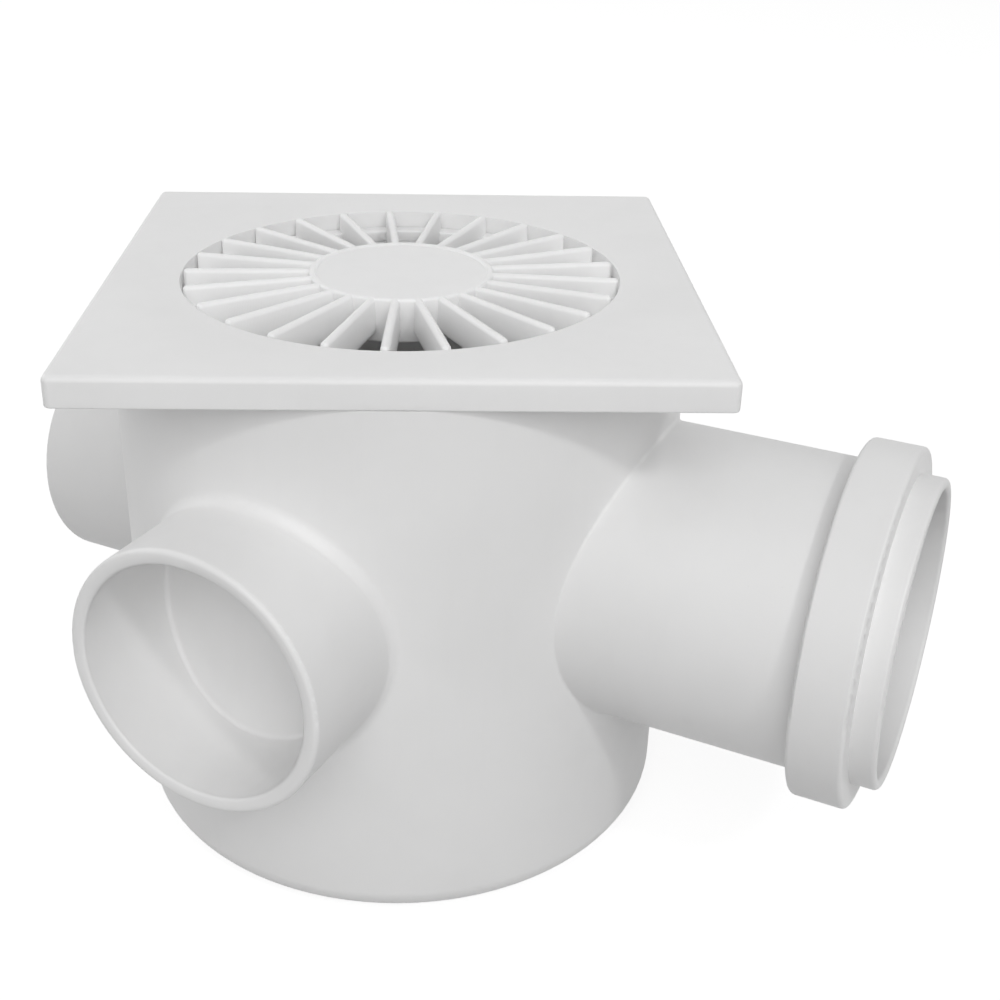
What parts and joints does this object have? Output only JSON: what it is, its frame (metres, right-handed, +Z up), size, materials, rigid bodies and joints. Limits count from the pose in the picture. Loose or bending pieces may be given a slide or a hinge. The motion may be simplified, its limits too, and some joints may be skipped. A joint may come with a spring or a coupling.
{
  "type": "gully trap",
  "caption": "Round plastic gully trap: ring-seal outlet socket, inlet sockets at right angles, dip elbow inside, and a square cover frame that turns, with a ribbed round grate.",
  "frame": {"origin": "centre of the pot's foot", "axes": "+Z up through the grate, +X along the outlet's axis, out of the outlet"},
  "size_m": [0.2578, 0.2146, 0.16],
  "materials": {
    "pot_plastic": "satin moulded",
    "cover_plastic": "satin moulded",
    "grate_plastic": "satin moulded",
    "trap_plastic": "satin moulded",
    "seal_rubber": "matt"
  },
  "bodies": {
    "gully": {"pot": "pot_plastic", "outlet_seal": "seal_rubber", "trap_elbow": "trap_plastic", "elbow_seal": "seal_rubber", "cleaning_plug": "trap_plastic", "plug_seal": "seal_rubber"},
    "top": {"frame": "cover_plastic", "grate": "grate_plastic"}
  },
  "joints": [
    {"name": "cover_turn", "type": "hinge", "parent": "gully", "child": "top", "pos_m": [0, 0, 0.152], "axis": [0, 0, 1], "continuous": true}
  ]
}
